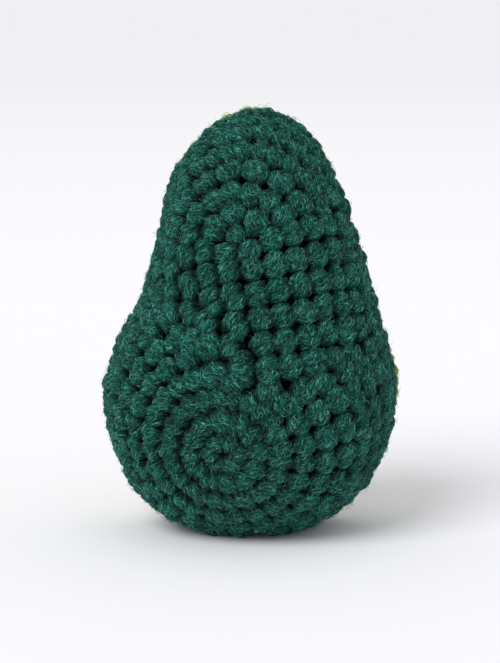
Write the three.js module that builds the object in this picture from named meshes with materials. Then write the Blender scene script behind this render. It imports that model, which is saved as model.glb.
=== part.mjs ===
import * as THREE from "three";

// A crocheted toy: half an avocado that stands upright. Sizes are in millimetres.
// X runs across the toy, Y from its skin side to its cut side, and Z up from the floor.
// Each piece is made with Y at 0 where the skin meets the cut side. The group then moves them,
// so that the origin is in the middle of the flat spot that the toy stands on.
const FLAT_SPOT_Y = -7;

// Outline where skin and cut side meet, as X and Z, from its lowest point to the right and round
const EDGE_POINTS = [
  [0, -2.2],
  [19.2, 3.6],
  [28.8, 16.5],
  [30.9, 31],
  [27.0, 48],
  [23.0, 62],
  [18.0, 75.5],
  [11.2, 85.6],
  [2.0, 89.4],
  [-7.2, 86.4],
  [-15.8, 76.5],
  [-19.8, 62.5],
  [-23.2, 50],
  [-29.0, 38.5],
  [-31.0, 24.5],
  [-21.8, 5.2],
];
const EDGE_STEPS = 96;
// Deepest place of the back and of the front, and how square the domes are
const CENTRE = new THREE.Vector2(0, 30);
const DOME_POWER = 2.3;
const BACK_DEPTH = 30;
const FRONT_DEPTH = 8;
// The neck is this much shallower than the belly
const NECK_THINNING = 0.2;
const NECK_REACH = 60;

// Crocheted fabric: thickness, height of a round and width of a stitch
const FABRIC = 4;
const ROUND = 5.1;
const STITCHES_ADDED_A_ROUND = 6;
const ROUND_GROOVE = 1.2;
const STITCH_GROOVE = 0.9;
const GAP = 0.35;
// The upright line that grooves are pressed towards
const CORE_LOW = 26;
const CORE_HIGH = 68;

// The skin starts in a ring of stitches low on the back, left of the middle
const SKIN_START = new THREE.Vector2(-5.8, 15.2);
const SKIN_RINGS = 32;
const RAY_SAMPLES = 40;
const INNER_RINGS = 5;
// The last round of the skin follows the edge
const EDGE_STITCHES = 48;

// Yellow-green round between skin and cut side
const RIM_INSET = 2;
const RIM_RADIUS = 2.3;
const RIM_SIDES = 8;
const RIM_GROOVE = 0.35;

const FLESH_INSET = 5;
const FLESH_START = 3.4;
const FLESH_RINGS = 9;
const FLESH_BACK_RINGS = 4;
const FLESH_FABRIC = 3.2;

const PIT_CENTRE = new THREE.Vector2(0, 31);
const PIT_RADIUS = 13;
const PIT_HEIGHT = 10.5;
const PIT_FABRIC = 3;
const PIT_STEPS = 36;
const PIT_RINGS = 7;
const PIT_INNER_RINGS = 4;
const PIT_GROOVE = 0.5;

// Loose fibre fills the body as far as the flesh reaches, and stays clear of the fabric
const FILL_RINGS = 6;
const FILL_GAP = 0.6;

// Joins rings of points into one closed surface. A ring of one point is a pole.
function ringSolid(rings, closedOnItself = false) {
  const positions = [];
  const firsts = rings.map((ring) => {
    const first = positions.length / 3;
    ring.forEach((p) => positions.push(p.x, p.y, p.z));
    return first;
  });
  const index = [];
  const lastPair = closedOnItself ? rings.length : rings.length - 1;
  for (let j = 0; j < lastPair; j++) {
    const k = (j + 1) % rings.length;
    const a = rings[j].length;
    const b = rings[k].length;
    const steps = Math.max(a, b);
    for (let i = 0; i < steps; i++) {
      const next = (i + 1) % steps;
      const here = firsts[j] + (a > 1 ? i : 0);
      const hereNext = firsts[j] + (a > 1 ? next : 0);
      const there = firsts[k] + (b > 1 ? i : 0);
      const thereNext = firsts[k] + (b > 1 ? next : 0);
      if (a > 1) index.push(here, hereNext, there);
      if (b > 1) index.push(hereNext, thereNext, there);
    }
  }
  const geometry = new THREE.BufferGeometry();
  geometry.setAttribute("position", new THREE.Float32BufferAttribute(positions, 3));
  geometry.setIndex(index);
  geometry.computeVertexNormals();
  return geometry;
}

const edgeCurve = new THREE.CatmullRomCurve3(
  EDGE_POINTS.map(([x, z]) => new THREE.Vector3(x, 0, z)),
  true,
);

// The edge moved inwards, as a list of X and Z. Inner layers stay that far over the floor too.
function edgeAt(inset, steps = EDGE_STEPS) {
  const edge = [];
  for (let i = 0; i < steps; i++) {
    const point = edgeCurve.getPointAt(i / steps);
    const along = edgeCurve.getTangentAt(i / steps);
    const lift = point.z + along.x * inset;
    edge.push(new THREE.Vector2(point.x - along.z * inset, inset > 0 ? Math.max(lift, inset) : lift));
  }
  return edge;
}

// How far a place lies from the centre towards the edge, from 0 to 1
function shareAt(flat, edge) {
  const ray = flat.clone().sub(CENTRE);
  for (let i = 0; i < edge.length; i++) {
    const a = edge[i].clone().sub(CENTRE);
    const b = edge[(i + 1) % edge.length].clone().sub(CENTRE);
    const u = ray.cross(b) / a.cross(b);
    const v = a.cross(ray) / a.cross(b);
    if (u > -1e-9 && v > -1e-9) return Math.min(u + v, 1);
  }
  return 1;
}

function domeFall(share) {
  return Math.pow(Math.max(1 - Math.pow(share, DOME_POWER), 0), 1 / DOME_POWER);
}

function backDepth(inset, z, share) {
  const up = THREE.MathUtils.smoothstep(z, CENTRE.y, CENTRE.y + NECK_REACH);
  return (BACK_DEPTH - inset) * (1 - NECK_THINNING * up) * domeFall(share);
}

// One ring of a dome: share runs from 0 in its centre to 1 at the edge. The floor presses it flat.
function domeRing(edge, share, height) {
  if (share === 0) return [new THREE.Vector3(CENTRE.x, height(CENTRE.y, 0), CENTRE.y)];
  return edge.map((corner) => {
    const flat = CENTRE.clone().lerp(corner, share);
    return new THREE.Vector3(flat.x, height(flat.y, share), Math.max(flat.y, 0));
  });
}

function shares(rings) {
  return Array.from({ length: rings + 1 }, (_, j) => Math.sin((j / rings) * (Math.PI / 2)));
}

// Groove depth between stitches: rounds about the start, then the last round along the edge
function stitchGroove(fromStart, toEdge, turn, alongEdge) {
  let across = fromStart / ROUND;
  let stitch = turn * STITCHES_ADDED_A_ROUND * Math.ceil(across);
  if (toEdge < ROUND) {
    across = toEdge / ROUND;
    stitch = alongEdge * EDGE_STITCHES * 2 * Math.PI;
  }
  const betweenRounds = 0.5 + 0.5 * Math.cos(2 * Math.PI * across);
  const betweenStitches = 0.5 + 0.5 * Math.cos(stitch);
  return Math.max(ROUND_GROOVE * betweenRounds, STITCH_GROOVE * betweenStitches);
}

// Moves a point of the skin towards the core of the toy, and less so just over the floor
function pressIn(point, depth) {
  const core = new THREE.Vector3(0, 0, THREE.MathUtils.clamp(point.z, CORE_LOW, CORE_HIGH));
  const share = THREE.MathUtils.smoothstep(point.z, 0.5, ROUND);
  return point.addScaledVector(core.sub(point).normalize(), depth * share);
}

function backPoint(flat, share, inset) {
  const y = -GAP / 2 - backDepth(inset, flat.y, share);
  return new THREE.Vector3(flat.x, y, Math.max(flat.y, 0));
}

// Points of the skin from its start out to one place on the edge, evenly spaced over the dome
function skinRay(corner, alongEdge, edge) {
  const samples = [];
  for (let j = 0; j <= RAY_SAMPLES; j++) {
    const way = Math.sin((j / RAY_SAMPLES) * (Math.PI / 2));
    const flat = SKIN_START.clone().lerp(corner, way);
    samples.push(backPoint(flat, j < RAY_SAMPLES ? shareAt(flat, edge) : 1, 0));
  }
  const curve = new THREE.CatmullRomCurve3(samples);
  const length = curve.getLength();
  const turn = corner.clone().sub(SKIN_START).angle();
  return curve.getSpacedPoints(SKIN_RINGS).map((point, j) => {
    const fromStart = (j / SKIN_RINGS) * length;
    return pressIn(point, stitchGroove(fromStart, length - fromStart, turn, alongEdge));
  });
}

function skin() {
  const edge = edgeAt(0);
  const rays = edge.map((corner, i) => skinRay(corner, i / edge.length, edge));
  const outside = [[rays[0][0]]];
  for (let j = 1; j <= SKIN_RINGS; j++) outside.push(rays.map((ray) => ray[j]));
  // The rim of the skin lies flat against the next round
  outside[SKIN_RINGS].forEach((point) => point.setY(-GAP / 2));
  const back = (z, share) => -GAP / 2 - backDepth(FABRIC, z, share);
  const inside = shares(INNER_RINGS).map((share) => domeRing(edgeAt(FABRIC), share, back));
  return ringSolid([...inside, ...outside.reverse()]);
}

function rim() {
  const middle = edgeAt(RIM_INSET);
  const rings = [];
  for (let j = 0; j < RIM_SIDES; j++) {
    const turn = (j / RIM_SIDES) * 2 * Math.PI;
    rings.push(middle.map((corner, i) => {
      const before = middle[(i + middle.length - 1) % middle.length];
      const after = middle[(i + 1) % middle.length];
      const along = after.clone().sub(before).normalize();
      const stitch = (i / middle.length) * EDGE_STITCHES * 2 * Math.PI;
      const radius = RIM_RADIUS - RIM_GROOVE * (1 + Math.cos(stitch)) / 2;
      const out = radius * Math.cos(turn);
      const centreHeight = Math.max(corner.y, RIM_RADIUS);
      return new THREE.Vector3(
        corner.x + along.y * out,
        GAP / 2 + RIM_RADIUS + radius * Math.sin(turn),
        Math.max(centreHeight - along.x * out, 0),
      );
    }));
  }
  return ringSolid(rings.reverse(), true);
}

function fleshFront(share) {
  return FLESH_START + FRONT_DEPTH * domeFall(share);
}

function flesh() {
  const edge = edgeAt(FLESH_INSET);
  const pitClear = PIT_RADIUS + 2;
  const front = shares(FLESH_RINGS).map((share, j) => {
    const ring = domeRing(edge, share, (z, s) => fleshFront(s));
    return ring.map((point) => {
      const fromPit = Math.hypot(point.x - PIT_CENTRE.x, point.z - PIT_CENTRE.y);
      const groove = fromPit < pitClear ? 0 : ROUND_GROOVE * (j % 2);
      return point.setY(point.y - groove);
    });
  });
  const behind = shares(FLESH_BACK_RINGS).map((share) =>
    domeRing(edge, share, (z, s) => fleshFront(s) - FLESH_FABRIC));
  return ringSolid([...front, ...behind.reverse()]);
}

function stuffing() {
  const edge = edgeAt(FLESH_INSET, EDGE_STEPS / 2);
  const back = shares(FILL_RINGS).map((share) =>
    domeRing(edge, share, (z, s) => -FILL_GAP - backDepth(FLESH_INSET, z, s)));
  const front = shares(FLESH_BACK_RINGS).map((share) =>
    domeRing(edge, share, (z, s) => fleshFront(s) - FLESH_FABRIC - FILL_GAP));
  return ringSolid([...front, ...back.reverse()]);
}

// Front of the flesh under a point of the pit
const fleshEdge = edgeAt(FLESH_INSET);

function fleshUnder(x, z) {
  return fleshFront(shareAt(new THREE.Vector2(x, z), fleshEdge));
}

function pitRing(radius, height, turnShare, grooves) {
  const tilt = turnShare * (Math.PI / 2);
  const steps = turnShare === 0 ? 1 : PIT_STEPS;
  return Array.from({ length: steps }, (_, i) => {
    const turn = (i / PIT_STEPS) * 2 * Math.PI;
    const r = radius * Math.sin(tilt) - grooves;
    const x = PIT_CENTRE.x + r * Math.cos(turn);
    const z = PIT_CENTRE.y + r * Math.sin(turn);
    return new THREE.Vector3(x, fleshUnder(x, z) + GAP + height * Math.cos(tilt), z);
  });
}

function pitShares(rings) {
  return Array.from({ length: rings + 1 }, (_, j) => j / rings);
}

function pit() {
  const outside = pitShares(PIT_RINGS).map((share, j) =>
    pitRing(PIT_RADIUS, PIT_HEIGHT, share, j % 2 ? 0 : Math.min(share, PIT_GROOVE)));
  const inside = pitShares(PIT_INNER_RINGS).map((share) =>
    pitRing(PIT_RADIUS - PIT_FABRIC, PIT_HEIGHT - PIT_FABRIC, share, 0));
  return ringSolid([...outside, ...inside.reverse()]);
}

function pitStuffing() {
  const inset = PIT_FABRIC + GAP;
  const top = pitShares(PIT_INNER_RINGS).map((share) =>
    pitRing(PIT_RADIUS - inset, PIT_HEIGHT - inset, share, 0));
  const centre = new THREE.Vector3(
    PIT_CENTRE.x,
    fleshUnder(PIT_CENTRE.x, PIT_CENTRE.y) + GAP,
    PIT_CENTRE.y,
  );
  return ringSolid([...top, [centre]]);
}

function piece(name, geometry, color) {
  const material = new THREE.MeshStandardMaterial({ color, roughness: 0.95, metalness: 0 });
  const mesh = new THREE.Mesh(geometry, material);
  mesh.name = name;
  return mesh;
}

const avocado = new THREE.Group();
avocado.position.y = -FLAT_SPOT_Y;
avocado.add(
  piece("skin", skin(), 0x1b4038),
  piece("rim", rim(), 0x8fae5c),
  piece("flesh", flesh(), 0xd3d890),
  piece("pit", pit(), 0x6f4527),
  piece("stuffing", stuffing(), 0xf3f1ea),
  piece("pit_stuffing", pitStuffing(), 0xf3f1ea),
);

export default avocado;
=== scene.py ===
"""A crocheted half avocado, stuffed and standing upright, seen from its skin side."""

import math

import bpy
import numpy as np
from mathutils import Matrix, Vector


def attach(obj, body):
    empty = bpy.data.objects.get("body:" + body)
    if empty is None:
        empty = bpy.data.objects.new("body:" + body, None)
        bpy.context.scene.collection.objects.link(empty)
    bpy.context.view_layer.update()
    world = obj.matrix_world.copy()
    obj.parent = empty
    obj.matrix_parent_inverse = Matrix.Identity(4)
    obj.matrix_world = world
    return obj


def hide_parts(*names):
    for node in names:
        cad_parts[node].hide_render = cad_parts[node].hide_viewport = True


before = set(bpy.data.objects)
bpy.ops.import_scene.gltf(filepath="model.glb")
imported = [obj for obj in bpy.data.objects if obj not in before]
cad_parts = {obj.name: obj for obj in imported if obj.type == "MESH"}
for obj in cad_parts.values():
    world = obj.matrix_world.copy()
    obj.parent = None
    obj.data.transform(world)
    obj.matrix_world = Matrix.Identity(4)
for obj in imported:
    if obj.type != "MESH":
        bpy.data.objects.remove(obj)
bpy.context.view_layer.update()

# Skin: the dark green back, crocheted round by round from a ring of six stitches low on the back.
# After three rounds a chain is worked up the neck, and later rounds go round both of them together.
# The yarn is a thick, softly spun wool and acrylic mix, and the stitches stand up plump and close.

MM = 0.001

# The body's form in millimetres, from the same sizes as the solids: the edge is given by X and Z
SEAM_Y = 7.0
EDGE_POINTS = [
    (0, -2.2), (19.2, 3.6), (28.8, 16.5), (30.9, 31), (27.0, 48), (23.0, 62), (18.0, 75.5),
    (11.2, 85.6), (2.0, 89.4), (-7.2, 86.4), (-15.8, 76.5), (-19.8, 62.5), (-23.2, 50),
    (-29.0, 38.5), (-31.0, 24.5), (-21.8, 5.2),
]
EDGE_PLACES = 720
CENTRE = np.array([0.0, 30.0])
BODY_MIDDLE = (0.0, SEAM_Y, 32.0)
DOME_POWER = 2.3
BACK_DEPTH = 30.0
NECK_THINNING = 0.2
NECK_REACH = 60.0

# The work: where the ring lies, where the chain runs, and how many rounds and stitches there are
SKIN_START = (-5.5, 20.9)
CHAIN_LOW, CHAIN_HIGH = 37, 64
CHAIN_X = 1.5
CHAIN_TILT = 0.16  # how far the chain leans to the left on each millimetre up
NECK_CHAIN = [(CHAIN_X - CHAIN_TILT * (z - CHAIN_LOW), z) for z in range(CHAIN_LOW, CHAIN_HIGH)]
ROUNDS_BEFORE_CHAIN = 3
SKIN_ROUNDS = 14
EDGE_ROUNDS = 2
EDGE_STITCHES = 50
# Worsted yarn on a 3.5 mm hook, in millimetres: a stitch's width, a round's height and the yarn
STITCH = 5.1
ROUND = 4.9
YARN = 3.4
DRIFT = 0.06  # how far each round's stitches slip on from those below, as a share of a stitch
LEAN = 0.22  # how far a stitch of an edge round leans on, as a share of its width


def unit(vectors):
    """The vectors, each scaled to a length of 1."""
    return vectors / (np.linalg.norm(vectors, axis=-1, keepdims=True) + 1e-9)


def circle(turn):
    """The direction at an angle, as two values."""
    return np.stack([np.cos(turn), np.sin(turn)], -1)


def way_along(line):
    """The length of a line up to each of its places."""
    return np.concatenate([[0], np.cumsum(np.linalg.norm(np.diff(line, axis=0), axis=1))])


def closed_curve(points, count, between=60):
    """Evenly spaced places on a smooth closed curve through the points."""
    p = np.array(points, float)
    before, after, later = (np.roll(p, shift, 0) for shift in (1, -1, -2))
    spans = (p - before, after - p, later - after)
    d0, d1, d2 = (np.sqrt(np.linalg.norm(v, axis=1))[:, None] for v in spans)
    leave = ((p - before) / d0 - (after - before) / (d0 + d1) + (after - p) / d1) * d1
    reach = ((after - p) / d1 - (later - p) / (d1 + d2) + (later - after) / d2) * d1
    t = np.linspace(0, 1, between, endpoint=False)[None, :, None]
    p, after, leave, reach = (v[:, None, :] for v in (p, after, leave, reach))
    curve = p + leave * t + (3 * after - 3 * p - 2 * leave - reach) * t**2
    curve = (curve + (2 * p - 2 * after + leave + reach) * t**3).reshape(-1, 2)
    ring = np.vstack([curve, curve[:1]])
    way = way_along(ring)
    want = np.linspace(0, way[-1], count, endpoint=False)
    return np.stack([np.interp(want, way, ring[:, k]) for k in range(2)], 1)


def into(outline):
    """The direction into the outline, square to it, at each of its places."""
    along = unit(np.roll(outline, -1, 0) - np.roll(outline, 1, 0))
    return np.stack([-along[:, 1], along[:, 0]], 1)


def reach_at(turn, outline):
    """How far the outline lies from the centre in each direction."""
    ray = outline - CENTRE
    own = np.arctan2(ray[:, 1], ray[:, 0])
    order = np.argsort(own)
    away = np.linalg.norm(ray, axis=1)
    return np.interp(turn, own[order], away[order], period=2 * math.pi)


def dome_at(flat, outline):
    """The height of a crowned dome at places X, Z: 1 at the centre, and 0 at the outline."""
    ray = flat - CENTRE
    limit = reach_at(np.arctan2(ray[..., 1], ray[..., 0]), outline)
    share = np.clip(np.linalg.norm(ray, axis=-1) / limit, 0, 1)
    return np.maximum(1 - share**DOME_POWER, 0) ** (1 / DOME_POWER)


def over_back(flat):
    """The back of the body over places X, Z. The table presses its underside flat."""
    up = np.clip((flat[..., 1] - CENTRE[1]) / NECK_REACH, 0, 1)
    thin = 1 - NECK_THINNING * (3 * up**2 - 2 * up**3)
    y = SEAM_Y - BACK_DEPTH * thin * dome_at(flat, edge)
    return np.stack([flat[..., 0], y, np.maximum(flat[..., 1], 0)], -1)


class Form:
    """A curved surface held as lines that run out over it, each measured along its own length."""

    STEP = 0.4
    BEYOND = 10  # how far the lines go straight on past their ends

    def __init__(self, lines, inside, middle=None):
        self.middle = middle
        ways = [way_along(line) for line in lines]
        self.length = np.array([way[-1] for way in ways])
        self.reach = np.arange(0, self.length.max() + self.BEYOND, self.STEP)
        self.grid = np.zeros((len(lines), len(self.reach), 3))
        for i, (line, way) in enumerate(zip(lines, ways)):
            for k in range(3):
                self.grid[i, :, k] = np.interp(self.reach, way, line[:, k])
            self.grid[i] += np.maximum(self.reach - way[-1], 0)[:, None] * unit(line[-1] - line[-3])
        around = np.roll(self.grid, -1, 0) - np.roll(self.grid, 1, 0)
        around[:, 0] = around[:, 1]
        self.normal = unit(np.cross(around, np.gradient(self.grid, axis=1)))
        if np.sum(self.normal * (self.grid - np.array(inside))) < 0:
            self.normal = -self.normal

    def turn_and_length(self, q):
        """A chart place is X, Z laid flat round the middle, or turn and length without a middle."""
        if self.middle is None:
            return q[..., 0] % 1, q[..., 1]
        turn = (np.arctan2(q[..., 1], q[..., 0]) / (2 * math.pi)) % 1
        return turn, np.linalg.norm(q, axis=-1)

    def read(self, held, q):
        """What the grid holds at chart places, blended between its four nearest points."""
        turn, length = self.turn_and_length(q)
        i, j = turn * len(held), np.clip(length / self.STEP, 0, held.shape[1] - 1.001)
        i0, j0 = np.floor(i).astype(int), np.floor(j).astype(int)
        fi, fj = (i - i0)[..., None], (j - j0)[..., None]
        i0, i1 = i0 % len(held), (i0 + 1) % len(held)
        low = held[i0, j0] * (1 - fi) + held[i1, j0] * fi
        return low * (1 - fj) + (held[i0, j0 + 1] * (1 - fi) + held[i1, j0 + 1] * fi) * fj

    def at(self, q):
        return self.read(self.grid, q)

    def facing(self, q):
        return unit(self.read(self.normal, q))

    def left(self, q):
        """The length that is left from a chart place to where the form ends."""
        turn, length = self.turn_and_length(q)
        whole = np.append(self.length, self.length[0])
        return np.interp(turn * len(self.length), np.arange(len(whole)), whole) - length

    def find(self, flat):
        """The chart place of a point X, Z."""
        ray = np.array(flat, float) - self.middle
        turn = math.atan2(ray[1], ray[0])
        i = int(round(turn / (2 * math.pi) * len(self.grid))) % len(self.grid)
        away = np.linalg.norm(self.grid[i, :, ::2] - self.middle, axis=1)
        known = self.reach < self.length[i]
        return np.interp(np.linalg.norm(ray), away[known], self.reach[known]) * circle(turn)


def rays(outline, over, count=240, steps=160):
    """Lines over a surface from the centre to the outline, with shorter steps near its edge."""
    turn = np.linspace(0, 2 * math.pi, count, endpoint=False)
    share = np.sin(np.linspace(0, 1, steps) * math.pi / 2)
    way = circle(turn) * reach_at(turn, outline)[:, None]
    return over(CENTRE + way[:, None, :] * share[None, :, None])


def edge_lines(outline, over, band, start=16.0, steps=120, crowding=2.2):
    """Lines square to the edge that end on it, and start a band's width before it."""
    inwards = start * np.linspace(1, 0, steps) ** crowding
    places = over(outline[:, None] + into(outline)[:, None] * inwards[None, :, None])
    lines = []
    for line in places[::2]:
        pieces = np.linalg.norm(np.diff(line, axis=0), axis=1)
        left = np.append(np.cumsum(pieces[::-1])[::-1], 0)
        lines.append(line[left < band])
    return lines


def length_from(form, q, sources):
    """How far chart places lie from the nearest of the sources, measured over the curved form."""
    spots, facings, start = sources
    chord = np.linalg.norm(form.at(q)[:, None] - spots[None], axis=2)
    bend = np.arccos(np.clip((form.facing(q)[:, None] * facings[None]).sum(2), -1, 1)) / 2 + 1e-3
    return (chord * bend / np.sin(bend) + start).min(1)


NUDGE = 0.3  # the step over which slopes are measured
LONGEST_MOVE = 3
PAST_END = 8


def slopes(read, q):
    """How fast something that is read on the chart changes along the chart's two directions."""
    return [(read(q + way) - read(q - way)) / (2 * NUDGE) for way in ([NUDGE, 0], [0, NUDGE])]


def onto(form, q, sources, level, steps=2):
    """Moves chart places the shortest way over the form to a given length from the sources."""
    for _ in range(steps):
        u, v = slopes(form.at, q)
        du, dv = slopes(lambda place: length_from(form, place, sources), q)
        uu, vv, uv = (u * u).sum(1), (v * v).sum(1), (u * v).sum(1)
        det = uu * vv - uv**2 + 1e-4
        way = np.stack([(du * vv - dv * uv) / det, (dv * uu - du * uv) / det], 1)
        slope = du * way[:, 0] + dv * way[:, 1] + 1e-3
        move = way * ((level - length_from(form, q, sources)) / slope)[:, None]
        move *= np.minimum(1, LONGEST_MOVE / (np.linalg.norm(move, axis=1) + 1e-9))[:, None]
        q = q + move
        far = np.linalg.norm(q, axis=1)
        q = q * np.minimum(1, (far + form.left(q) + PAST_END) / (far + 1e-9))[:, None]
    return q


def gaps(form, q):
    """The distance from each stitch of a round to the next."""
    place = form.at(q)
    return np.linalg.norm(np.roll(place, -1, 0) - place, axis=1)


def widths(form, q):
    """The width that each stitch of a round has to fill, as a share of a stitch."""
    place = form.at(q)
    return np.linalg.norm(np.roll(place, -1, 0) - np.roll(place, 1, 0), axis=1) / (2 * STITCH)


RING_STITCHES = 6
RING_RADIUS = 0.8
CHAIN_LINKS = slice(2, None, 5)  # one stitch for every fifth millimetre of the chain
BESIDE_CHAIN = 0.3
FIRST_REACH = 4
EVEN_OUT = 0.2  # how far stitches move towards the middle of their neighbours at each pass
END_GAP = 0.5
# Gaps between stitches, as shares of a stitch: where one is added, left out, or too near another
WIDE_GAP = 1.4
TIGHT_GAP = 0.66
NEAREST = 0.72
# Where rounds meet at an angle: the largest gap that may stay, how much closer the stitches lie near
# the brim and near the join of ring and chain, how many rounds that reaches, and their width
OPEN_GAP = 0.75
CLOSER = 1.2
BRIM_ROUNDS = 2.6
JOIN_ROUNDS = 2.2
DRAWN_WIDTH = 0.88
DRAWN_END_GAP = 1.5
HEART_GAP = 0.3
SEEK_TURNS, SEEK_STEP = 180, 0.8


def crochet(form, start, rounds, chain=None, chain_after=0, taken=None):
    """Works each round into the one before. Wide gaps get a stitch more, and tight ones one less."""
    heart = form.find(start)[None]
    sources = [form.at(heart), form.facing(heart), np.zeros(1)]
    turn = np.arange(RING_STITCHES) / RING_STITCHES * 2 * math.pi
    tops = heart + RING_RADIUS * circle(turn)
    brim = 0 if taken is None else BRIM_ROUNDS * ROUND
    taken = np.zeros((0, 3)) if taken is None else taken
    made = []
    for k in range(rounds):
        feet, level = tops, (k + 1) * ROUND
        if chain and k == chain_after:
            links = np.array([form.find(place) for place in chain])
            begun = np.full(len(links), k * ROUND)
            found = (form.at(links), form.facing(links), begun)
            sources = [np.concatenate(pair) for pair in zip(sources, found)]
            own, tip = links[CHAIN_LINKS], links[-1:]
            nearest = np.argmin(np.linalg.norm(feet - links[0], axis=1))
            rest = np.roll(feet, -nearest, 0)[1:]
            aside, up = np.array([1, 0]), np.array([0, 1])
            feet, tops = (
                np.vstack([own + far * aside, tip + far * up, own[::-1] - far * aside, rest])
                for far in (BESIDE_CHAIN, FIRST_REACH)
            )
        for share in (0.25, 0.5, 0.75, 1.0):
            tops = onto(form, tops, sources, (k + share) * ROUND)
        for _ in range(3):
            wide = np.flatnonzero(gaps(form, tops) > WIDE_GAP * STITCH)
            tops = np.insert(tops, wide + 1, (tops + np.roll(tops, -1, 0))[wide] / 2, axis=0)
            feet = np.insert(feet, wide + 1, (feet + np.roll(feet, -1, 0))[wide] / 2, axis=0)
            tops = onto(form, tops, sources, level, 4)
        for _ in range(4):
            tight = gaps(form, tops) < TIGHT_GAP * STITCH
            tight &= ~np.roll(tight, 1)
            tops, feet = tops[~tight], feet[~tight]
        for _ in range(5):
            tops = tops + EVEN_OUT * (np.roll(tops, -1, 0) + np.roll(tops, 1, 0) - 2 * tops)
            tops = onto(form, tops, sources, level)
        tops = onto(form, tops + DRIFT * (np.roll(tops, -1, 0) - tops), sources, level)
        wide_foot, wide_top = widths(form, feet), widths(form, tops)
        row = np.concatenate([feet, tops, wide_foot[:, None], wide_top[:, None]], 1)
        middle = (feet + tops) / 2
        keep = form.left(middle) > END_GAP
        where = form.at(middle)
        if len(taken):
            away = np.linalg.norm(where[:, None] - taken[None], axis=2).min(1)
            keep &= away > NEAREST * STITCH
        made.append(row[keep])
        taken = np.vstack([taken, where[keep]])
    return np.concatenate(made + [drawn_in(form, taken, sources, brim)])


def drawn_in(form, taken, sources, brim):
    """Stitches where rounds meet at an angle, closest at the brim and where ring and chain join."""
    turn = np.linspace(0, 2 * math.pi, SEEK_TURNS, endpoint=False)
    turn, length = np.meshgrid(turn, np.arange(1, form.length.max(), SEEK_STEP))
    q = (length[..., None] * circle(turn)).reshape(-1, 2)
    q = q[form.left(q) > DRAWN_END_GAP]
    place, added = form.at(q), []
    join = np.linalg.norm(place - sources[0][:2].mean(0), axis=1)
    closer = np.where((form.left(q) < brim) | (join < JOIN_ROUNDS * ROUND), CLOSER, 1.0)
    away = np.linalg.norm(place[:, None] - taken[None], axis=2).min(1) * closer
    while away.max() > OPEN_GAP * STITCH:
        added.append(q[np.argmax(away)])
        away = np.minimum(away, np.linalg.norm(place - form.at(added[-1][None]), axis=1) * closer)
    if not added:
        return np.zeros((0, 6))
    q = np.array(added)
    level = length_from(form, q, sources)
    low, high = (np.maximum(level + way * ROUND / 2, HEART_GAP) for way in (-1, 1))
    feet, tops = onto(form, q, sources, low, 4), onto(form, q, sources, high, 4)
    return np.concatenate([feet, tops, np.full((len(q), 2), DRAWN_WIDTH)], 1)


def edge_round(count, low, high, shift=0.0, wide=1.0):
    """One round of stitches along an edge, each leaning a little on."""
    spots = (np.arange(count) + shift) / count
    low, high, wide = (np.full(count, value) for value in (low, high, wide))
    return np.stack([spots, low, spots + LEAN / count, high, wide, wide], 1)


def middles(form, stitches):
    """Where the middle of each stitch lies."""
    return form.at((stitches[:, 0:2] + stitches[:, 2:4]) / 2)


# The legs of a stitch: lengths in millimetres, unless a comment says otherwise
LEG_STEPS = 13
LEG_SIDES = 10
OVERLAP = 0.06  # how far a leg runs past its row on both sides, as a share of the row
NARROWEST, WIDEST, FULL_WIDTH = 0.35, 1.3, 1.15  # as shares of a stitch's width
PLUMPNESS = 1.75  # the higher, the longer a leg keeps its full thickness
THIN_END, THIN_NARROW = 0.53, 0.55  # the yarn's share at a leg's ends, and in a narrow stitch
PULLED_FULL = 0.55  # how much of its fullness a pulled leg keeps at its ends
APART_END, APART_FULL = 0.05, 1.02
SLIP = 0.3  # how far one leg of a stitch runs ahead of the other
DIVE, DIVE_PULLED = 0.8, 1.9
TWIST = 0.45
UNEVEN_APART, UNEVEN_SLIP, UNEVEN_RISE, UNEVEN_YARN = 0.08, 0.12, 0.15, 0.05
FLOOR_GAP = 1.15


def legs_of(form, stitches, rng, sunk=1.2, thick=1.0):
    """Two plump legs for each stitch, which rise from one row and dive under the next."""
    count = len(stitches)
    foot, top = stitches[:, None, 0:2], stitches[:, None, 2:4]
    t = np.linspace(-OVERLAP, 1 + OVERLAP, LEG_STEPS)[None, :]
    q = foot + (top - foot) * t[..., None]
    place, normal = form.at(q), form.facing(q)
    along = unit(np.gradient(place, axis=1))
    row = unit(np.cross(normal, along))
    width = np.clip(stitches[:, 4:5] * (1 - t) + stitches[:, 5:6] * t, NARROWEST, WIDEST)
    bulge = 1 - np.abs(2 * t - 1) ** PLUMPNESS
    # Stitches that run to the left are pulled in harder, and their ends stay fuller and dive deeper
    pulled = np.clip(-along[..., 0], 0, 1)
    full = bulge + PULLED_FULL * pulled * (1 - bulge)
    lines, normals, radii, heights = [], [], [], []
    for side in (-1, 1):
        apart = side * width * (APART_END + APART_FULL * full)
        apart = apart + rng.normal(0, UNEVEN_APART, (count, 1))
        slip = -SLIP * side + rng.normal(0, UNEVEN_SLIP, (count, 1))
        rise = -sunk - (DIVE + DIVE_PULLED * pulled) * (1 - bulge)
        rise = rise + rng.normal(0, UNEVEN_RISE, (count, 1))
        line = place + along * slip[..., None]
        line = line + row * (apart - TWIST * np.sin(2 * math.pi * t))[..., None]
        line = line + normal * rise[..., None]
        line[..., 2] = np.maximum(line[..., 2], FLOOR_GAP)
        lines.append(line)
        normals.append(normal)
        radius = YARN / 2 * thick * (THIN_END + (1 - THIN_END) * full)
        radius = radius * (THIN_NARROW + (1 - THIN_NARROW) * np.clip(width, 0, FULL_WIDTH))
        radii.append(radius * (1 + rng.normal(0, UNEVEN_YARN, (count, 1))))
        heights.append(rise)
    return tuple(np.concatenate(v) for v in (lines, normals, radii, heights))


def frames_of(lines, normals):
    """Three directions at each place of the lines: along them, to their side and up."""
    along = unit(np.gradient(lines, axis=1))
    side = unit(np.cross(along, normals))
    return along, side, np.cross(side, along)


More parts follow.
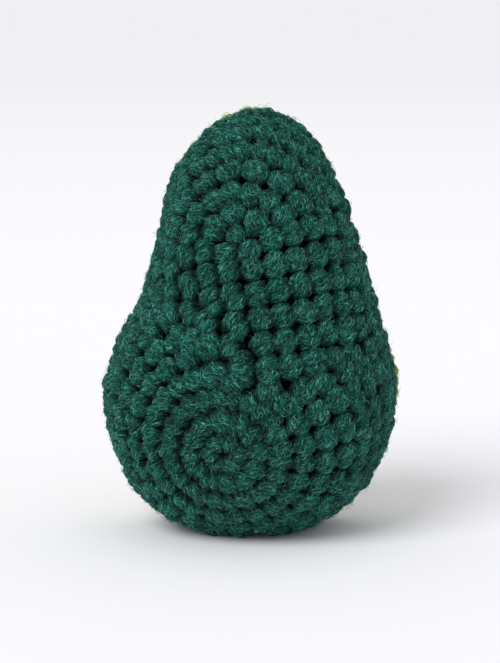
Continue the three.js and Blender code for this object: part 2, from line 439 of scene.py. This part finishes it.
PLIES = 3
PLY_DEPTH = 0.06
PLY_TWIST = 1.5  # radians for each millimetre of yarn
FLATTENED = 0.94  # a leg's thickness as a share of its width
TIP = 0.6  # how far a leg's end is rounded out, as a share of its radius
ANY_TURN, ANY_PLACE = 6.3, 40  # the ranges of where each leg's plies and fibres begin
LOWEST = 0.03


def tubes(lines, normals, radii, heights, rng, sides=LEG_SIDES):
    """Closed tubes of yarn along the lines, with the soft ridges of their plies."""
    count, steps = lines.shape[:2]
    along, side, up = frames_of(lines, normals)
    way = np.zeros((count, steps))
    way[:, 1:] = np.cumsum(np.linalg.norm(np.diff(lines, axis=1), axis=2), axis=1)
    turn = np.linspace(0, 2 * math.pi, sides, endpoint=False)
    begin = rng.random((count, 1, 1)) * ANY_TURN
    ply = 1 + PLY_DEPTH * np.cos(PLIES * turn[None, None] + way[..., None] * PLY_TWIST + begin)
    r = radii[..., None] * ply
    ring = lines[:, :, None] + side[:, :, None] * (r * np.cos(turn))[..., None]
    ring = ring + up[:, :, None] * (r * FLATTENED * np.sin(turn))[..., None]
    first_tip = lines[:, 0] - along[:, 0] * radii[:, :1] * TIP
    last_tip = lines[:, -1] + along[:, -1] * radii[:, -1:] * TIP
    offset = rng.random((count, 1, 1)) * ANY_PLACE
    flow = np.stack([np.broadcast_to(way[..., None], r.shape) + offset, r * np.cos(turn) + offset,
                     r * np.sin(turn)], -1).reshape(count, -1, 3)
    ends = np.zeros((count, 2, 3))
    ends[..., 0] = way[:, [0, -1]] + offset[:, 0]
    j, k = np.meshgrid(np.arange(steps - 1), np.arange(sides), indexing="ij")
    here, after = j * sides + k, j * sides + (k + 1) % sides
    quads = np.stack([here, after, after + sides, here + sides], -1).reshape(-1, 4)
    k, last = np.arange(sides), (steps - 1) * sides
    first = np.stack([(k + 1) % sides, k, np.full(sides, steps * sides)], 1)
    second = np.stack([last + k, last + (k + 1) % sides, np.full(sides, steps * sides + 1)], 1)
    verts = np.concatenate([ring.reshape(count, -1, 3), np.stack([first_tip, last_tip], 1)], 1)
    verts[..., 2] = np.maximum(verts[..., 2], LOWEST)
    height = heights[..., None] + ((ring - lines[:, :, None]) * normals[:, :, None]).sum(3)
    height = np.concatenate([height.reshape(count, -1), heights[:, [0, -1]]], 1)
    return verts, np.concatenate([flow, ends], 1), height, quads, np.concatenate([first, second])


# Real fibres are 0.03 mm thick. They are made 0.09 mm thick here, and fewer, so that they show
FIBRE_RADIUS = 0.044
FIBRE_LENGTHS = (0.7, 1.9)
FIBRE_SIDES = (-0.15, 1.15)  # half turns round a leg, from one side over the top to the other
FIBRE_SLANT = (-0.55, 0.6)  # radians against the leg, as middle and spread
FIBRE_BEND = 0.4
FIBRE_ROOT = 0.95  # as a share of the leg's radius
FIBRE_SHIFT = 0.25
FIBRE_DEPTH = 0.05
LOOSE_SHARE = 0.12
LOOSE_LIFT, LYING_LIFT = (0.4, 1.2), (0.08, 0.3)
LOWEST_FIBRE = 0.05
ANY_TONE = 60


def fuzz(lines, normals, radii, heights, count, rng):
    """Short curled fibres that lie over the yarn or lift off it, each a closed sliver."""
    strands, steps = lines.shape[:2]
    along, side, up = frames_of(lines, normals)
    who, where = rng.integers(0, strands, count), rng.integers(2, steps - 2, count)
    turn = rng.uniform(*FIBRE_SIDES, count) * math.pi
    out = side[who, where] * np.cos(turn)[:, None] + up[who, where] * np.sin(turn)[:, None]
    root = lines[who, where] + out * (radii[who, where] * FIBRE_ROOT)[:, None]
    root += along[who, where] * rng.uniform(-FIBRE_SHIFT, FIBRE_SHIFT, count)[:, None]
    slant = rng.normal(*FIBRE_SLANT, count)[:, None]
    way = along[who, where] * np.cos(slant) + np.cross(along[who, where], out) * np.sin(slant)
    way *= np.where(rng.random(count) < 0.5, -1, 1)[:, None]
    across = np.cross(way, out)
    length = rng.uniform(*FIBRE_LENGTHS, count)[:, None]
    free = rng.random((count, 1)) < LOOSE_SHARE
    high_lift, low_lift = (rng.uniform(*lift, (count, 1)) for lift in (LOOSE_LIFT, LYING_LIFT))
    lift = np.where(free, high_lift, low_lift)
    bend = rng.normal(0, FIBRE_BEND, count)[:, None]
    points = []
    for t in (-0.5, -0.17, 0.17, 0.5):
        hump = (0.25 - t * t) * 4
        high = np.where(free, lift * (t + 0.5), lift * hump)
        place = root + way * length * t + across * bend * length * hump
        points.append(place + out * (high - FIBRE_DEPTH))
    corners = [points[0][:, None]]
    for place in points[1:3]:
        for angle in (0, 2 * math.pi / 3, 4 * math.pi / 3):
            spoke = across * math.cos(angle) + out * math.sin(angle)
            corners.append((place + FIBRE_RADIUS * spoke)[:, None])
    corners.append(points[3][:, None])
    verts = np.concatenate(corners, 1)
    verts[..., 2] = np.maximum(verts[..., 2], LOWEST_FIBRE)
    tris = [(0, 2, 1), (0, 3, 2), (0, 1, 3), (7, 4, 5), (7, 5, 6), (7, 6, 4)]
    quads = [(1, 2, 5, 4), (2, 3, 6, 5), (3, 1, 4, 6)]
    flow = np.broadcast_to(rng.random((count, 1, 3)) * ANY_TONE, verts.shape)
    height = heights[who, where] + radii[who, where] * (out * normals[who, where]).sum(1)
    return verts, flow, np.repeat(height[:, None], 8, 1), np.array(quads), np.array(tris)


BACKING_INSET = 0.3
BACKING_START = 0.02  # where its first ring lies, as a share of the way to the end
BACKING_LOWEST = 1.0


def backing(form, outer, inner, lines=96, rings=44):
    """The wrong side of the fabric as one closed shell, between two depths under the form."""
    turn = np.arange(lines) / lines
    ends = np.interp(turn * len(form.length), np.arange(len(form.length)), form.length)
    length = (ends - BACKING_INSET)[:, None] * np.linspace(BACKING_START, 1, rings)[None]
    q = length[..., None] * circle(2 * math.pi * turn)[:, None]
    place, normal = form.at(q), form.facing(q)
    heart, facing = form.at(np.zeros((1, 2))), form.facing(np.zeros((1, 2)))
    sides = [(place - deep * normal).transpose(1, 0, 2).reshape(-1, 3) for deep in (outer, inner)]
    verts = np.vstack([*sides, heart - outer * facing, heart - inner * facing])
    verts[:, 2] = np.maximum(verts[:, 2], BACKING_LOWEST)
    j, k = np.meshgrid(np.arange(rings - 1), np.arange(lines), indexing="ij")
    here, after = (j * lines + k).ravel(), (j * lines + (k + 1) % lines).ravel()
    size = rings * lines
    front = np.stack([here, after, after + lines, here + lines], 1)
    k = np.arange(lines)
    rim, rim_after = (rings - 1) * lines + k, (rings - 1) * lines + (k + 1) % lines
    brim = np.stack([rim, rim_after, rim_after + size, rim + size], 1)
    quads = np.vstack([front, front[:, ::-1] + size, brim])
    outer_fan = np.stack([(k + 1) % lines, k, np.full(lines, 2 * size)], 1)
    inner_fan = np.stack([k + size, (k + 1) % lines + size, np.full(lines, 2 * size + 1)], 1)
    flow = np.stack([verts[:, 0], verts[:, 2], verts[:, 1]], 1)
    height = np.full((1, len(verts)), -outer)
    return verts[None], flow[None], height, quads, np.vstack([outer_fan, inner_fan])


def piece_of(name, verts, flow, height, quads, tris, material, slot, node):
    """One piece from many alike closed forms, given in millimetres."""
    count, size = verts.shape[:2]
    first = verts[0]
    fans = np.vstack([tris] + [quads[:, c] for c in ((0, 1, 2), (0, 2, 3))])
    if np.sum(first[fans[:, 0]] * np.cross(first[fans[:, 1]], first[fans[:, 2]])) < 0:
        quads, tris = quads[:, ::-1], tris[:, ::-1]
    base = (np.arange(count) * size)[:, None, None]
    q, t = (quads[None] + base).reshape(-1, 4), (tris[None] + base).reshape(-1, 3)
    mesh = bpy.data.meshes.new(name)
    mesh.vertices.add(count * size)
    mesh.vertices.foreach_set("co", (verts.reshape(-1) * MM).astype(np.float32))
    loops = np.concatenate([q.reshape(-1), t.reshape(-1)])
    mesh.loops.add(len(loops))
    mesh.loops.foreach_set("vertex_index", loops.astype(np.int32))
    corners = np.concatenate([np.full(len(q), 4), np.full(len(t), 3)])
    mesh.polygons.add(len(corners))
    mesh.polygons.foreach_set("loop_start", (np.cumsum(corners) - corners).astype(np.int32))
    mesh.polygons.foreach_set("loop_total", corners.astype(np.int32))
    mesh.polygons.foreach_set("use_smooth", np.ones(len(corners), bool))
    mesh.update(calc_edges=True)
    for key, values in (("yarn_flow", flow.reshape(-1)), ("yarn_height", np.repeat(height, 3))):
        held = mesh.attributes.new(key, "FLOAT_VECTOR", "POINT")
        held.data.foreach_set("vector", values.astype(np.float32))
    mesh.validate()
    mesh.materials.append(material)
    piece = bpy.data.objects.new(name, mesh)
    bpy.context.scene.collection.objects.link(piece)
    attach(piece, "root")
    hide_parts(node)
    return piece


def linear(hex_colour):
    """An sRGB hex colour as the linear values that a shader takes."""
    parts = [int(hex_colour[k:k + 2], 16) / 255 for k in (1, 3, 5)]
    return (*(c / 12.92 if c <= 0.04045 else ((c + 0.055) / 1.055) ** 2.4 for c in parts), 1.0)


def surface(name, **constant):
    """A new material, with what is the same all over it set on the shader's own sockets."""
    material = bpy.data.materials.new(name)
    material.use_nodes = True
    tree = material.node_tree
    shader = tree.nodes["Principled BSDF"]
    for key, value in constant.items():
        shader.inputs[key.replace("_", " ")].default_value = value
    return material, tree, shader


def node(tree, kind, links=(), **settings):
    """Adds a node with its settings, and links its inputs from other nodes' outputs."""
    made = tree.nodes.new(kind)
    for key, value in settings.items():
        socket = key.replace("_", " ")
        if socket in made.inputs:
            made.inputs[socket].default_value = value
        else:
            setattr(made, key, value)
    for target, source in links:
        tree.links.new(source, made.inputs[target])
    return made


def stops_of(ramp, stops):
    """Sets a colour ramp's places and colours."""
    while len(ramp.color_ramp.elements) < len(stops):
        ramp.color_ramp.elements.new(0.5)
    for element, (place, colour) in zip(ramp.color_ramp.elements, stops):
        element.position = place
        element.color = linear(colour)


# Painted shade and light: millimetres under and over the form where the yarn is painted darkest and
# where it is painted fully lit
DARK_DEPTH, LIT_HEIGHT = -1.65, 0.6
# How much lighter than its own colour the tops of the stitches are painted
PAINTED_TOP_LIGHT = 1.22


def painted_depth_shade(tree, colour, painted_shade_least):
    """The colour with painted shade: darker the deeper it lies between stitches, where little light
    gets in, and painted lighter on their tops.
    """
    held = node(tree, "ShaderNodeAttribute", attribute_name="yarn_height")
    height = node(tree, "ShaderNodeSeparateXYZ", [("Vector", held.outputs["Vector"])])
    lit = node(tree, "ShaderNodeMapRange", [("Value", height.outputs["X"])],
               interpolation_type="SMOOTHSTEP", From_Min=DARK_DEPTH, From_Max=LIT_HEIGHT,
               To_Min=painted_shade_least, To_Max=PAINTED_TOP_LIGHT)
    shaded = node(tree, "ShaderNodeVectorMath", [(0, colour), ("Scale", lit.outputs["Result"])],
                  operation="SCALE")
    return shaded.outputs["Vector"]


# Fibres lie along the yarn in two lays, turned against it by these angles in radians. Real ones are
# 0.03 mm thick. They are drawn 1.1 mm long and 0.24 mm apart, and raised by 0.7 mm, so that they show
LAYS = (0.85, 0.2)
FIBRES_PER_MM = (0.9, 4.2, 2.5)
FIBRE_RELIEF = 0.7
# The spinning blends the yarn unevenly, in patches of about 3 mm
PATCHES_PER_MM = 0.35


def wool_yarn(name, deep, body, light, fleck, painted_shade_least=0.01):
    """Softly spun wool and acrylic yarn: matt and deep, with fine pale fibres that lie along it, and
    painted shade between the stitches.
    """
    material, tree, shader = surface(name, Roughness=0.9, Specular_IOR_Level=0.12, Sheen_Weight=0.6,
                                     Sheen_Roughness=0.35, Sheen_Tint=linear(light))
    flow = node(tree, "ShaderNodeAttribute", attribute_name="yarn_flow")
    lays = []
    for slant in LAYS:
        turned = node(tree, "ShaderNodeVectorRotate", [("Vector", flow.outputs["Vector"])],
                      Angle=slant)
        drawn = node(tree, "ShaderNodeMapping", [("Vector", turned.outputs["Vector"])],
                     Scale=FIBRES_PER_MM)
        lays.append(node(tree, "ShaderNodeTexNoise", [("Vector", drawn.outputs["Vector"])],
                         Scale=1.0, Detail=3.0, Roughness=0.65, Distortion=1.2))
    fibres = node(tree, "ShaderNodeMath", [(k, lay.outputs["Fac"]) for k, lay in enumerate(lays)],
                  operation="MAXIMUM")
    ramp = node(tree, "ShaderNodeValToRGB", [("Fac", fibres.outputs["Value"])])
    stops_of(ramp, [(0.42, deep), (0.53, body), (0.6, light), (0.68, fleck)])
    cloud = node(tree, "ShaderNodeTexNoise", [("Vector", flow.outputs["Vector"])],
                 Scale=PATCHES_PER_MM, Detail=2.0)
    shade = node(tree, "ShaderNodeMapRange", [("Value", cloud.outputs["Fac"])],
                 From_Min=0.3, From_Max=0.7, To_Min=0.8, To_Max=1.15)
    tone = node(tree, "ShaderNodeVectorMath",
                [(0, ramp.outputs["Color"]), ("Scale", shade.outputs["Result"])], operation="SCALE")
    tree.links.new(painted_depth_shade(tree, tone.outputs["Vector"], painted_shade_least), shader.inputs["Base Color"])
    bump = node(tree, "ShaderNodeBump", [("Height", fibres.outputs["Value"])],
                Strength=0.9, Distance=FIBRE_RELIEF * MM)
    tree.links.new(bump.outputs["Normal"], shader.inputs["Normal"])
    return material


def loose_fibre(name, dark, pale, painted_shade_least=0.01):
    """Single fibres that stand out of the yarn: smoother than its mass, so they catch the light.
    Painted shade darkens those that lie deep.
    """
    material, tree, shader = surface(name, Roughness=0.6, Specular_IOR_Level=0.35)
    flow = node(tree, "ShaderNodeAttribute", attribute_name="yarn_flow")
    # Each fibre has one place in the pattern, so it is of one tone
    pick = node(tree, "ShaderNodeTexNoise", [("Vector", flow.outputs["Vector"])],
                Scale=0.9, Detail=1.0)
    ramp = node(tree, "ShaderNodeValToRGB", [("Fac", pick.outputs["Fac"])])
    stops_of(ramp, [(0.4, dark), (0.66, pale)])
    tree.links.new(painted_depth_shade(tree, ramp.outputs["Color"], painted_shade_least), shader.inputs["Base Color"])
    return material


rng = np.random.default_rng(7)
edge = closed_curve(EDGE_POINTS, EDGE_PLACES)
EDGE_LOW = 0.6  # how far an edge round keeps from where its form starts
back = Form(rays(edge, over_back), BODY_MIDDLE, CENTRE)
back_edge = Form(edge_lines(edge, over_back, EDGE_ROUNDS * ROUND + EDGE_LOW), BODY_MIDDLE)
edge_stitches = np.concatenate([
    edge_round(EDGE_STITCHES, EDGE_LOW + k * ROUND, EDGE_LOW + k * ROUND + ROUND, shift=0.4 * k)
    for k in range(EDGE_ROUNDS)
])
skin_stitches = crochet(back, SKIN_START, SKIN_ROUNDS, NECK_CHAIN, ROUNDS_BEFORE_CHAIN,
                        middles(back_edge, edge_stitches))

# Dyed a deep bluish green, with paler fibres that catch the light. Painted shade makes it nearly
# black in its depths
green_yarn = wool_yarn("dark_green_wool_yarn", "#02120d", "#0b3b32", "#1c6a5b", "#5cb6a4")
green_fibre = loose_fibre("dark_green_wool_fibre", "#144e43", "#6fc6b3")
# The wrong side closes the holes between the stitches. It is the same yarn, coloured nearly black as
# painted shade, since it lies in the dark under them
green_painted_shade = wool_yarn("dark_green_wool_painted_shade", "#010302", "#030a08", "#06120f", "#0a1c18")
UNDER_SKIN = (3.0, 3.9)
SKIN_FIBRES = 16000
EDGE_FIBRES = 5000
skin_legs = legs_of(back, skin_stitches, rng)
edge_legs = legs_of(back_edge, edge_stitches, rng)
skin = piece_of("skin_rounds", *tubes(*skin_legs, rng), green_yarn, "skin_yarn", "skin")
piece_of("skin_edge_rounds", *tubes(*edge_legs, rng), green_yarn, "skin_yarn", "skin")
piece_of("skin_wrong_side", *backing(back, *UNDER_SKIN), green_painted_shade, "skin_yarn", "skin")
for name in ("skin_fuzz", "skin_fuzz_over"):
    piece_of(name, *fuzz(*skin_legs, SKIN_FIBRES, rng), green_fibre, "skin_yarn", "skin")
piece_of("skin_edge_fuzz", *fuzz(*edge_legs, EDGE_FIBRES, rng), green_fibre, "skin_yarn", "skin")

# Rim: one round of lighter avocado green yarn where back and front are joined. It goes over the
# edge, so that a sliver of it shows from behind. Same yarn, same stitch, worked a little looser.

RIM_INSET = 3.0
RIM_RADIUS = 2.5
RIM_Y = SEAM_Y + 2.5
RIM_HEART = (0, 14, 35)
RIM_ARC = (-75, 130)  # degrees round the rope, from behind over the edge to the front
RIM_STITCHES = 52
RIM_HIGH = 7.6
RIM_WIDTH = 0.98
RIM_SUNK, RIM_THICK = 1.0, 0.9
CORE_RADIUS, CORE_SUNK = 2.1, 1.0  # the tails of yarn that are worked over inside the round
CORE_BACK = 1.2
RIM_FIBRES = 2500
# The round is pulled out a little where the photo shows it: at which X and Z, over what square of a
# distance, and how far
OVER_TOP = (-2, 89), 160, 0.25
LOW_RIGHT = (31, 30), 60, 1.3
inwards = into(edge)


def pulled_out(place, spread, far):
    """How far the round is pulled out at each place of the edge: most near the given place."""
    return far * np.exp(-np.linalg.norm(edge - place, axis=1) ** 2 / spread)


rope = edge + inwards * (RIM_INSET - pulled_out(*OVER_TOP) - pulled_out(*LOW_RIGHT))[:, None]
rope[:, 1] = np.maximum(rope[:, 1], RIM_RADIUS)
bend = np.radians(np.linspace(*RIM_ARC, 40))
rim_lines = np.zeros((len(rope), len(bend), 3))
rim_lines[..., 0] = rope[:, :1] - inwards[:, :1] * RIM_RADIUS * np.cos(bend)
rim_lines[..., 1] = RIM_Y + RIM_RADIUS * np.sin(bend)
rim_lines[..., 2] = rope[:, 1:] - inwards[:, 1:] * RIM_RADIUS * np.cos(bend)
rim_form = Form(list(rim_lines[::2]), RIM_HEART)
rim_middle = np.stack([rope[:, 0], np.full(len(rope), RIM_Y), rope[:, 1]], 1)
rim_form.normal = unit(rim_form.grid - rim_middle[::2, None])
rim_stitches = edge_round(RIM_STITCHES, EDGE_LOW, RIM_HIGH, wide=RIM_WIDTH)
# Dyed the light yellow green of ripe flesh next to the skin: the same matt wool, much paler. Painted
# shade darkens its gaps, to no less than a fifth of its colour
lime_yarn = wool_yarn("avocado_green_wool_yarn", "#42542a", "#789448", "#9db56c", "#c6d6a0", 0.2)
lime_fibre = loose_fibre("avocado_green_wool_fibre", "#86a850", "#c5dc98", 0.2)
rim_legs = legs_of(rim_form, rim_stitches, rng, sunk=RIM_SUNK, thick=RIM_THICK)
piece_of("rim_round", *tubes(*rim_legs, rng), lime_yarn, "rim_yarn", "rim")
core = np.stack([rope[:, 0], np.full(len(rope), RIM_Y - CORE_BACK), rope[:, 1]], 1)[::3]
core = np.vstack([core, core[:1]])[None]
steady = np.ones(core.shape[:2])
along_y = np.broadcast_to([0.0, 1.0, 0.0], core.shape)
core = tubes(core, along_y, CORE_RADIUS * steady, -CORE_SUNK * steady, rng)
piece_of("rim_tails_inside", *core, lime_yarn, "rim_yarn", "rim")
piece_of("rim_fuzz", *fuzz(*rim_legs, RIM_FIBRES, rng), lime_fibre, "rim_yarn", "rim")

# Flesh: the pale front, crocheted like the back from a ring and a neck chain, and sewn in behind the
# rim. It is nearly flat and bulges a little from the fibrefill. No stitches lie under the pit.

FLESH_INSET = 4.6
FLESH_START = 3.0
FRONT_DEPTH = 8.0
BEHIND_FRONT = (0, SEAM_Y - 20, 35)
FLESH_CHAIN = [(-0.3, z) for z in range(48, 66)]
FLESH_ROUNDS = 10
FLESH_EDGE_STITCHES = 44
FLESH_SUNK = 0.8
UNDER_FLESH = (2.4, 3.4)
FLESH_FIBRES = 4500
PIT_CENTRE = (0.0, 31.0)
PIT_RADIUS = 13.0
PIT_OVERLAP = 3.5
flesh_edge = edge + inwards * FLESH_INSET
flesh_edge[:, 1] = np.maximum(flesh_edge[:, 1], FLESH_INSET)


def over_front(flat):
    """The gently crowned front over places X, Z."""
    y = SEAM_Y + FLESH_START + FRONT_DEPTH * dome_at(flat, flesh_edge)
    return np.stack([flat[..., 0], y, flat[..., 1]], -1)


front = Form(rays(flesh_edge, over_front), BEHIND_FRONT, CENTRE)
front_edge = Form(edge_lines(flesh_edge, over_front, ROUND + EDGE_LOW), BEHIND_FRONT)
front_edge_stitches = edge_round(FLESH_EDGE_STITCHES, EDGE_LOW, EDGE_LOW + ROUND)
flesh_stitches = crochet(front, PIT_CENTRE, FLESH_ROUNDS, FLESH_CHAIN, ROUNDS_BEFORE_CHAIN,
                         middles(front_edge, front_edge_stitches))
from_pit = np.linalg.norm(middles(front, flesh_stitches)[:, ::2] - np.array(PIT_CENTRE), axis=1)
flesh_stitches = flesh_stitches[from_pit > PIT_RADIUS - PIT_OVERLAP]
# Dyed pale yellow green, with nearly white fibres: the same wool. Its gaps stay light, as they get
# only a little painted shade
pale_yarn = wool_yarn("pale_avocado_wool_yarn", "#8d9350", "#c3c882", "#d9dca0", "#f0f0c8", 0.4)
pale_fibre = loose_fibre("pale_avocado_wool_fibre", "#d3d69a", "#f4f3d2", 0.4)
flesh_legs = [np.concatenate(pair) for pair in zip(
    legs_of(front, flesh_stitches, rng, sunk=FLESH_SUNK),
    legs_of(front_edge, front_edge_stitches, rng, sunk=FLESH_SUNK),
)]
flesh = piece_of("flesh_rounds", *tubes(*flesh_legs, rng), pale_yarn, "flesh_yarn", "flesh")
piece_of("flesh_wrong_side", *backing(front, *UNDER_FLESH), pale_yarn, "flesh_yarn", "flesh")
piece_of("flesh_fuzz", *fuzz(*flesh_legs, FLESH_FIBRES, rng), pale_fibre, "flesh_yarn", "flesh")

# Pit: a half ball in brown yarn, worked from a ring at its middle, stuffed and sewn on the flesh.
# It is the same stitch, pulled tighter, so that the ball stays round.

PIT_HEIGHT = 10.5
PIT_LIFT = 0.4
UNDER_PIT_MIDDLE = (0, SEAM_Y, 31)
PIT_ROUNDS = 4
UNDER_PIT = (2.4, 3.2)
PIT_FIBRES = 2200
pit_middle = np.array(PIT_CENTRE)


def over_pit(turn, tilt):
    """The half ball of the pit, which stands on the front, by its turn and its tilt from the top."""
    flat = pit_middle + PIT_RADIUS * np.sin(tilt)[..., None] * circle(turn)
    place = over_front(flat)
    place[..., 1] += PIT_LIFT + PIT_HEIGHT * np.cos(tilt)
    return place


turn = np.linspace(0, 2 * math.pi, 120, endpoint=False)
turn, tilt = np.meshgrid(turn, np.linspace(0, math.pi / 2, 60), indexing="ij")
pit_form = Form(list(over_pit(turn, tilt)), UNDER_PIT_MIDDLE, pit_middle)
# The ring starts a hair beside the middle, where the chart has a direction
pit_stitches = crochet(pit_form, pit_middle + np.array([0.01, 0]), PIT_ROUNDS)
# Dyed chestnut brown like an avocado's stone: matt and warm, with painted shade darkening it in the
# gaps
brown_yarn = wool_yarn("chestnut_brown_wool_yarn", "#1f0f07", "#54301b", "#75482c", "#a87a58", 0.15)
brown_fibre = loose_fibre("chestnut_brown_wool_fibre", "#7d5134", "#c09472", 0.15)
pit_legs = legs_of(pit_form, pit_stitches, rng)
pit = piece_of("pit_rounds", *tubes(*pit_legs, rng), brown_yarn, "pit_yarn", "pit")
pit_backing = backing(pit_form, *UNDER_PIT, lines=48, rings=20)
piece_of("pit_wrong_side", *pit_backing, brown_yarn, "pit_yarn", "pit")
piece_of("pit_fuzz", *fuzz(*pit_legs, PIT_FIBRES, rng), brown_fibre, "pit_yarn", "pit")

# Stuffing: loose white polyester fibrefill, pulled apart by hand. It is pushed in until body and pit
# are firm, before the last stitches close them. The solids of both fills stay as they are and get the
# look of fibrefill: matt, white and tufted.

TUFT = 4.0  # the size in millimetres that fibrefill pulls into by hand
fibrefill, tree, shader = surface("polyester_fibrefill", Roughness=0.85, Sheen_Weight=0.3)
place = node(tree, "ShaderNodeTexCoord")
tufts = node(tree, "ShaderNodeTexNoise", [("Vector", place.outputs["Object"])],
             Scale=1 / (TUFT * MM), Detail=6.0, Roughness=0.7)
ramp = node(tree, "ShaderNodeValToRGB", [("Fac", tufts.outputs["Fac"])])
stops_of(ramp, [(0.3, "#cfcdc8"), (0.65, "#f4f3f0")])
tree.links.new(ramp.outputs["Color"], shader.inputs["Base Color"])
bump = node(tree, "ShaderNodeBump", [("Height", tufts.outputs["Fac"])], Strength=0.8, Distance=MM)
tree.links.new(bump.outputs["Normal"], shader.inputs["Normal"])
for name in ("stuffing", "pit_stuffing"):
    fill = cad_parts[name]
    fill.data.materials.clear()
    fill.data.materials.append(fibrefill)

# Floor, light and camera: the toy stands on matt white paper in a white room. One broad, soft light
# from the upper left throws a soft shadow to the right. The camera looks down on it by ten degrees.

FLOOR_HALF = 30
# Where the painted light falloff on the paper begins and ends, in metres from the toy
FALLOFF_NEAR, FALLOFF_FAR = 0.3, 1.5
floor_mesh = bpy.data.meshes.new("floor")
corners = ((-1, -1), (1, -1), (1, 1), (-1, 1))
floor_mesh.from_pydata([(x * FLOOR_HALF, y * FLOOR_HALF, 0) for x, y in corners], [], [(0, 1, 2, 3)])
floor = bpy.data.objects.new("floor", floor_mesh)
bpy.context.scene.collection.objects.link(floor)
# White paper, unglazed and matt, with painted light falloff: a little greyer the farther it runs back
# from the toy
paper, tree, shader = surface("white_paper", Roughness=0.9)
place = node(tree, "ShaderNodeTexCoord")
away = node(tree, "ShaderNodeVectorMath", [(0, place.outputs["Object"])], operation="LENGTH")
painted_falloff = node(tree, "ShaderNodeMapRange", [("Value", away.outputs["Value"])],
            From_Min=FALLOFF_NEAR, From_Max=FALLOFF_FAR)
ramp = node(tree, "ShaderNodeValToRGB", [("Fac", painted_falloff.outputs["Result"])])
stops_of(ramp, [(0.0, "#f8f8fa"), (1.0, "#ebebed")])
tree.links.new(ramp.outputs["Color"], shader.inputs["Base Color"])
floor_mesh.materials.append(paper)

ROOM_LIGHT = 0.725
world = bpy.data.worlds.new("white_room")
bpy.context.scene.world = world
world.use_nodes = True
room = world.node_tree.nodes["Background"]
room.inputs["Color"].default_value = linear("#f8f8fa")
room.inputs["Strength"].default_value = ROOM_LIGHT

KEY_LIGHT = 1.68
KEY_SOFTNESS = math.radians(35)
KEY_WAY = Vector((0.55, 0.6, -0.8))
key_data = bpy.data.lights.new("key_soft_light", "SUN")
key_data.energy = KEY_LIGHT
key_data.angle = KEY_SOFTNESS
key = bpy.data.objects.new("key_soft_light", key_data)
bpy.context.scene.collection.objects.link(key)
key.rotation_euler = KEY_WAY.to_track_quat("-Z", "Y").to_euler()

CAMERA_UP = math.radians(10)
CAMERA_AWAY = 0.5
AIM_HEIGHT = 0.0417
PICTURE_HEIGHT, PIXELS_PER_MM = 663, 4.67
SENSOR = 36
aim = Vector((0, SEAM_Y * MM, AIM_HEIGHT))
from_aim = Vector((0, -math.cos(CAMERA_UP), math.sin(CAMERA_UP)))
camera_data = bpy.data.cameras.new("camera")
camera_data.lens = SENSOR * CAMERA_AWAY / (PICTURE_HEIGHT / PIXELS_PER_MM * MM)
camera_data.clip_start = 0.01
camera = bpy.data.objects.new("camera", camera_data)
bpy.context.scene.collection.objects.link(camera)
camera.location = aim + from_aim * CAMERA_AWAY
camera.rotation_euler = (-from_aim).to_track_quat("-Z", "Y").to_euler()
bpy.context.scene.camera = camera
bpy.context.scene.view_settings.view_transform = "Standard"
